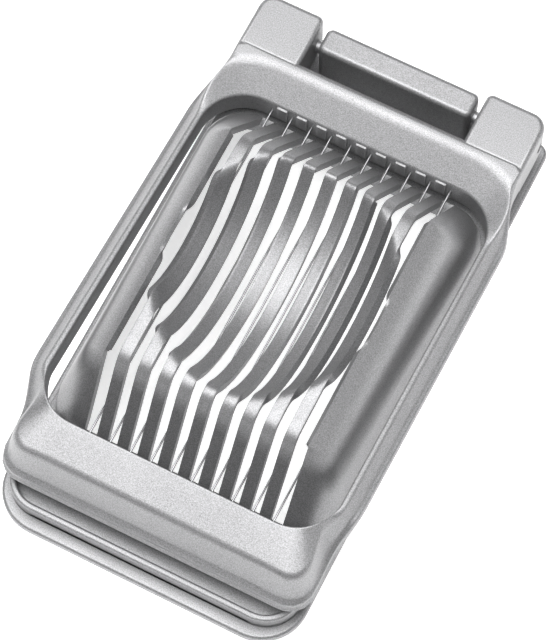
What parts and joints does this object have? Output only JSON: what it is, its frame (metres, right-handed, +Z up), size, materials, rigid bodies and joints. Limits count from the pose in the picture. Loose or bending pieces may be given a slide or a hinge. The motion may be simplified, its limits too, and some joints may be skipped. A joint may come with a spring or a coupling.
{
  "type": "egg slicer",
  "caption": "Egg slicer: a cast slotted base with an egg-shaped dish, and a hinged frame of stretched wires that cuts a boiled egg into slices.",
  "frame": {"origin": "centre of the base's footprint, on the surface it stands on", "axes": "+Z up, +Y towards the hinge, +X to the right as seen from the end that is lifted"},
  "size_m": [0.08, 0.1356, 0.0321],
  "materials": {
    "cast_base": "fine sandy silver-grey coat",
    "cast_frame": "fine sandy silver-grey coat",
    "pin_steel": "bright drawn steel",
    "wire_steel": "bright drawn stainless wire"
  },
  "bodies": {
    "base": {"base": "cast_base"},
    "cutting_frame": {"cutting_frame": "cast_frame", "hinge_pin": "pin_steel", "cutting_wire_01": "wire_steel", "cutting_wire_02": "wire_steel", "cutting_wire_03": "wire_steel", "cutting_wire_04": "wire_steel", "cutting_wire_05": "wire_steel", "cutting_wire_06": "wire_steel", "cutting_wire_07": "wire_steel", "cutting_wire_08": "wire_steel", "cutting_wire_09": "wire_steel", "cutting_wire_10": "wire_steel"}
  },
  "joints": [
    {"name": "frame_hinge", "type": "hinge", "parent": "base", "child": "cutting_frame", "pos_m": [0, 0.0624, 0.012], "axis": [-1, 0, 0], "range_deg": [0, 110]}
  ]
}
